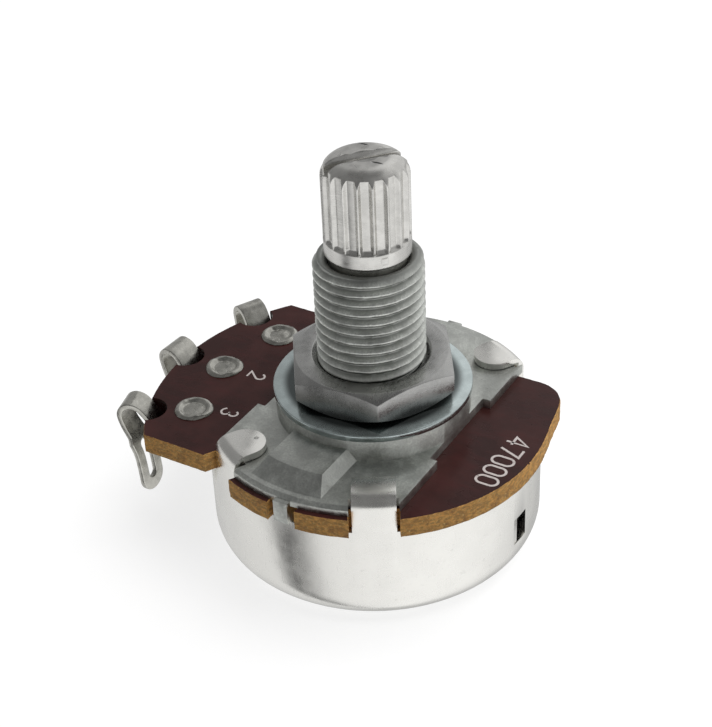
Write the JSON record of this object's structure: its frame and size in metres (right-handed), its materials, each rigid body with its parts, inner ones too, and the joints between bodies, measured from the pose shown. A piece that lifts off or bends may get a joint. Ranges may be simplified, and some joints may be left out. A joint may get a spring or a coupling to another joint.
{
  "type": "rotary potentiometer",
  "caption": "Panel-mount rotary potentiometer: drawn metal cover, threaded bush, splined shaft and solder lugs on a laminate board.",
  "frame": {"origin": "centre of the cover's flat back, on the shaft's axis", "axes": "+Z along the shaft towards its end, -Y towards the solder lugs, +X towards the side of lug 3"},
  "size_m": [0.0252, 0.0308, 0.0302],
  "materials": {
    "cover_metal": "bright tin plate on drawn steel, lightly mottled",
    "cast_metal": "dull grey die-cast zinc, satin",
    "washer_metal": "zinc plate, satin",
    "nut_metal": "zinc plate, satin, with turned chamfers",
    "shaft_metal": "bright satin with rolled splines",
    "board_laminate": "dark reddish-brown glossy face, pale brown fibrous edges",
    "print_ink": "thin white printing",
    "track_ink": "matt black carbon film",
    "silver_ink": "matt silver film",
    "tinned_brass": "bright tin plate on brass",
    "inner_steel": "plain steel",
    "thrust_brass": "plain brass",
    "spring_bronze": "phosphor bronze spring sheet",
    "carrier_laminate": "plain brown laminate"
  },
  "bodies": {
    "root": {"cover": "cover_metal", "bushing_plate": "cast_metal", "board": "board_laminate", "resistive_track": "track_ink", "collector_ring": "silver_ink", "track_pad_1": "silver_ink", "track_pad_3": "silver_ink", "lug_1": "tinned_brass", "lug_2": "tinned_brass", "lug_3": "tinned_brass", "rivet_1": "tinned_brass", "rivet_2": "tinned_brass", "rivet_3": "tinned_brass", "washer": "washer_metal", "nut": "nut_metal", "thrust_washer": "thrust_brass"},
    "rotor": {"shaft": "shaft_metal", "retaining_clip": "inner_steel", "wiper_carrier": "carrier_laminate", "wiper": "spring_bronze", "stop_plate": "inner_steel"}
  },
  "joints": [
    {"name": "shaft_turn", "type": "hinge", "parent": "root", "child": "rotor", "pos_m": [0, 0, 0.018], "axis": [0, 0, 1], "range_deg": [-150, 150]}
  ]
}
